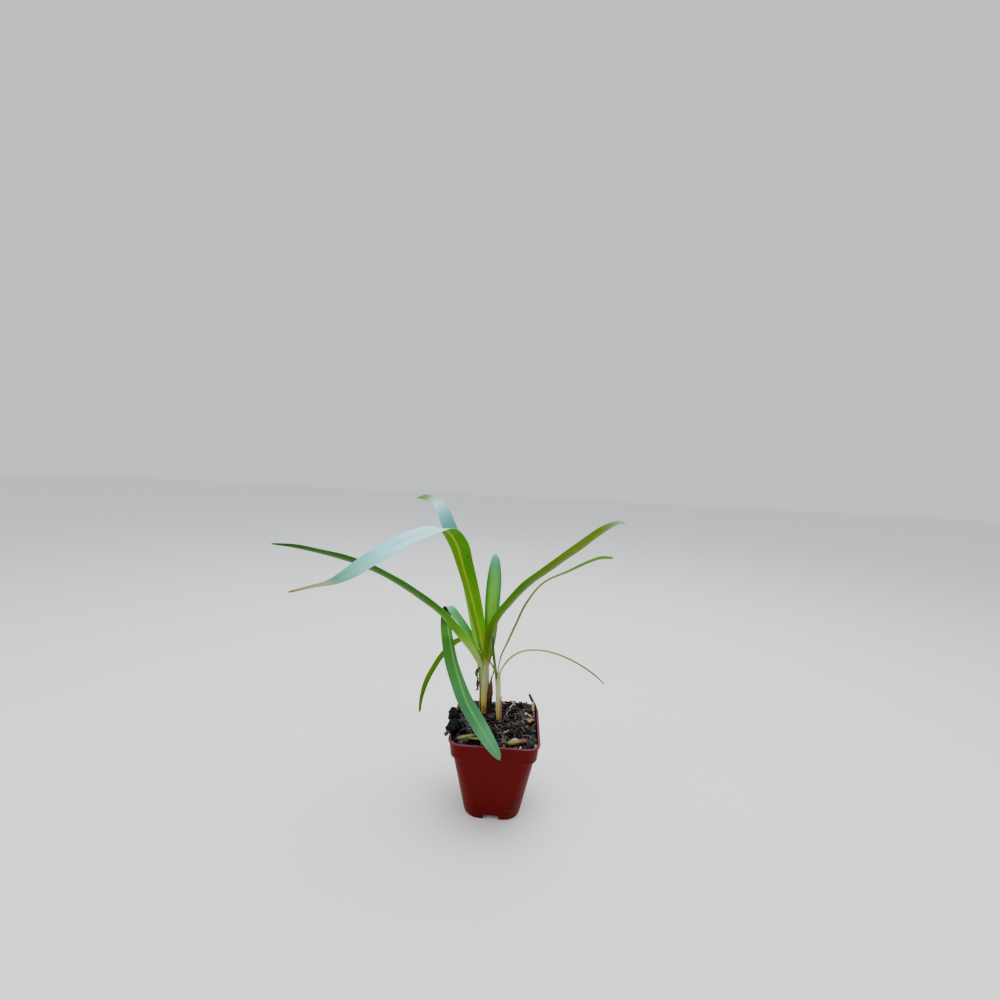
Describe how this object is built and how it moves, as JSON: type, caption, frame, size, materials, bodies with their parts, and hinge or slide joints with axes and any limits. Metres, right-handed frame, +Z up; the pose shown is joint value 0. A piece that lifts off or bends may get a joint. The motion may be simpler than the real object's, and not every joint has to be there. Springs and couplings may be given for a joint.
{
  "type": "potted agapanthus",
  "caption": "Young agapanthus with arching strap leaves and a grassy side shoot, in bark compost in a small square plastic nursery pot.",
  "frame": {"origin": "centre of the pot's underside, on the surface it stands on", "axes": "+Z up; -Y is the side towards the viewer; +X to the viewer's right; the pot's sides are square to X and Y"},
  "size_m": [0.2584, 0.1564, 0.2431],
  "materials": {
    "terracotta_red_polypropylene": "smooth moulded satin",
    "bark_compost": "damp, crumbly",
    "rootstock_cream": "matt, fleshy",
    "leaf_green": "waxy satin leaf",
    "leaf_dark_green": "waxy satin leaf",
    "young_leaf_green": "waxy satin leaf",
    "dry_sheath_brown": "dry, papery",
    "old_leaf_grey_green": "withered, matt",
    "cut_stem_ochre": "cut plant stem, matt",
    "bark_brown": "rough bark",
    "dry_fibre_tan": "dry fibre"
  },
  "bodies": {
    "root": {"pot": "terracotta_red_polypropylene", "soil": "bark_compost", "rootstock": "rootstock_cream", "leaf_low_left": "leaf_dark_green", "leaf_long_left": "leaf_green", "leaf_folded_front": "leaf_dark_green", "leaf_right": "leaf_green", "leaf_arching_left": "leaf_green", "leaf_back": "leaf_green", "leaf_centre": "leaf_green", "shoot_leaf_inner": "young_leaf_green", "shoot_leaf_right": "young_leaf_green", "shoot_leaf_left": "leaf_dark_green", "dry_sheath": "dry_sheath_brown", "shoot_scale": "dry_sheath_brown", "withered_base": "old_leaf_grey_green", "bark_lump": "bark_brown", "bark_lump_front": "bark_brown", "bark_crumb": "bark_brown", "cut_stub_left": "cut_stem_ochre", "cut_stub_small": "cut_stem_ochre", "cut_stub_right": "cut_stem_ochre", "corner_scrap": "cut_stem_ochre", "twig_stub": "cut_stem_ochre", "leaf_scrap": "dry_fibre_tan", "bark_flake": "dry_fibre_tan", "twig": "bark_brown"}
  },
  "joints": []
}
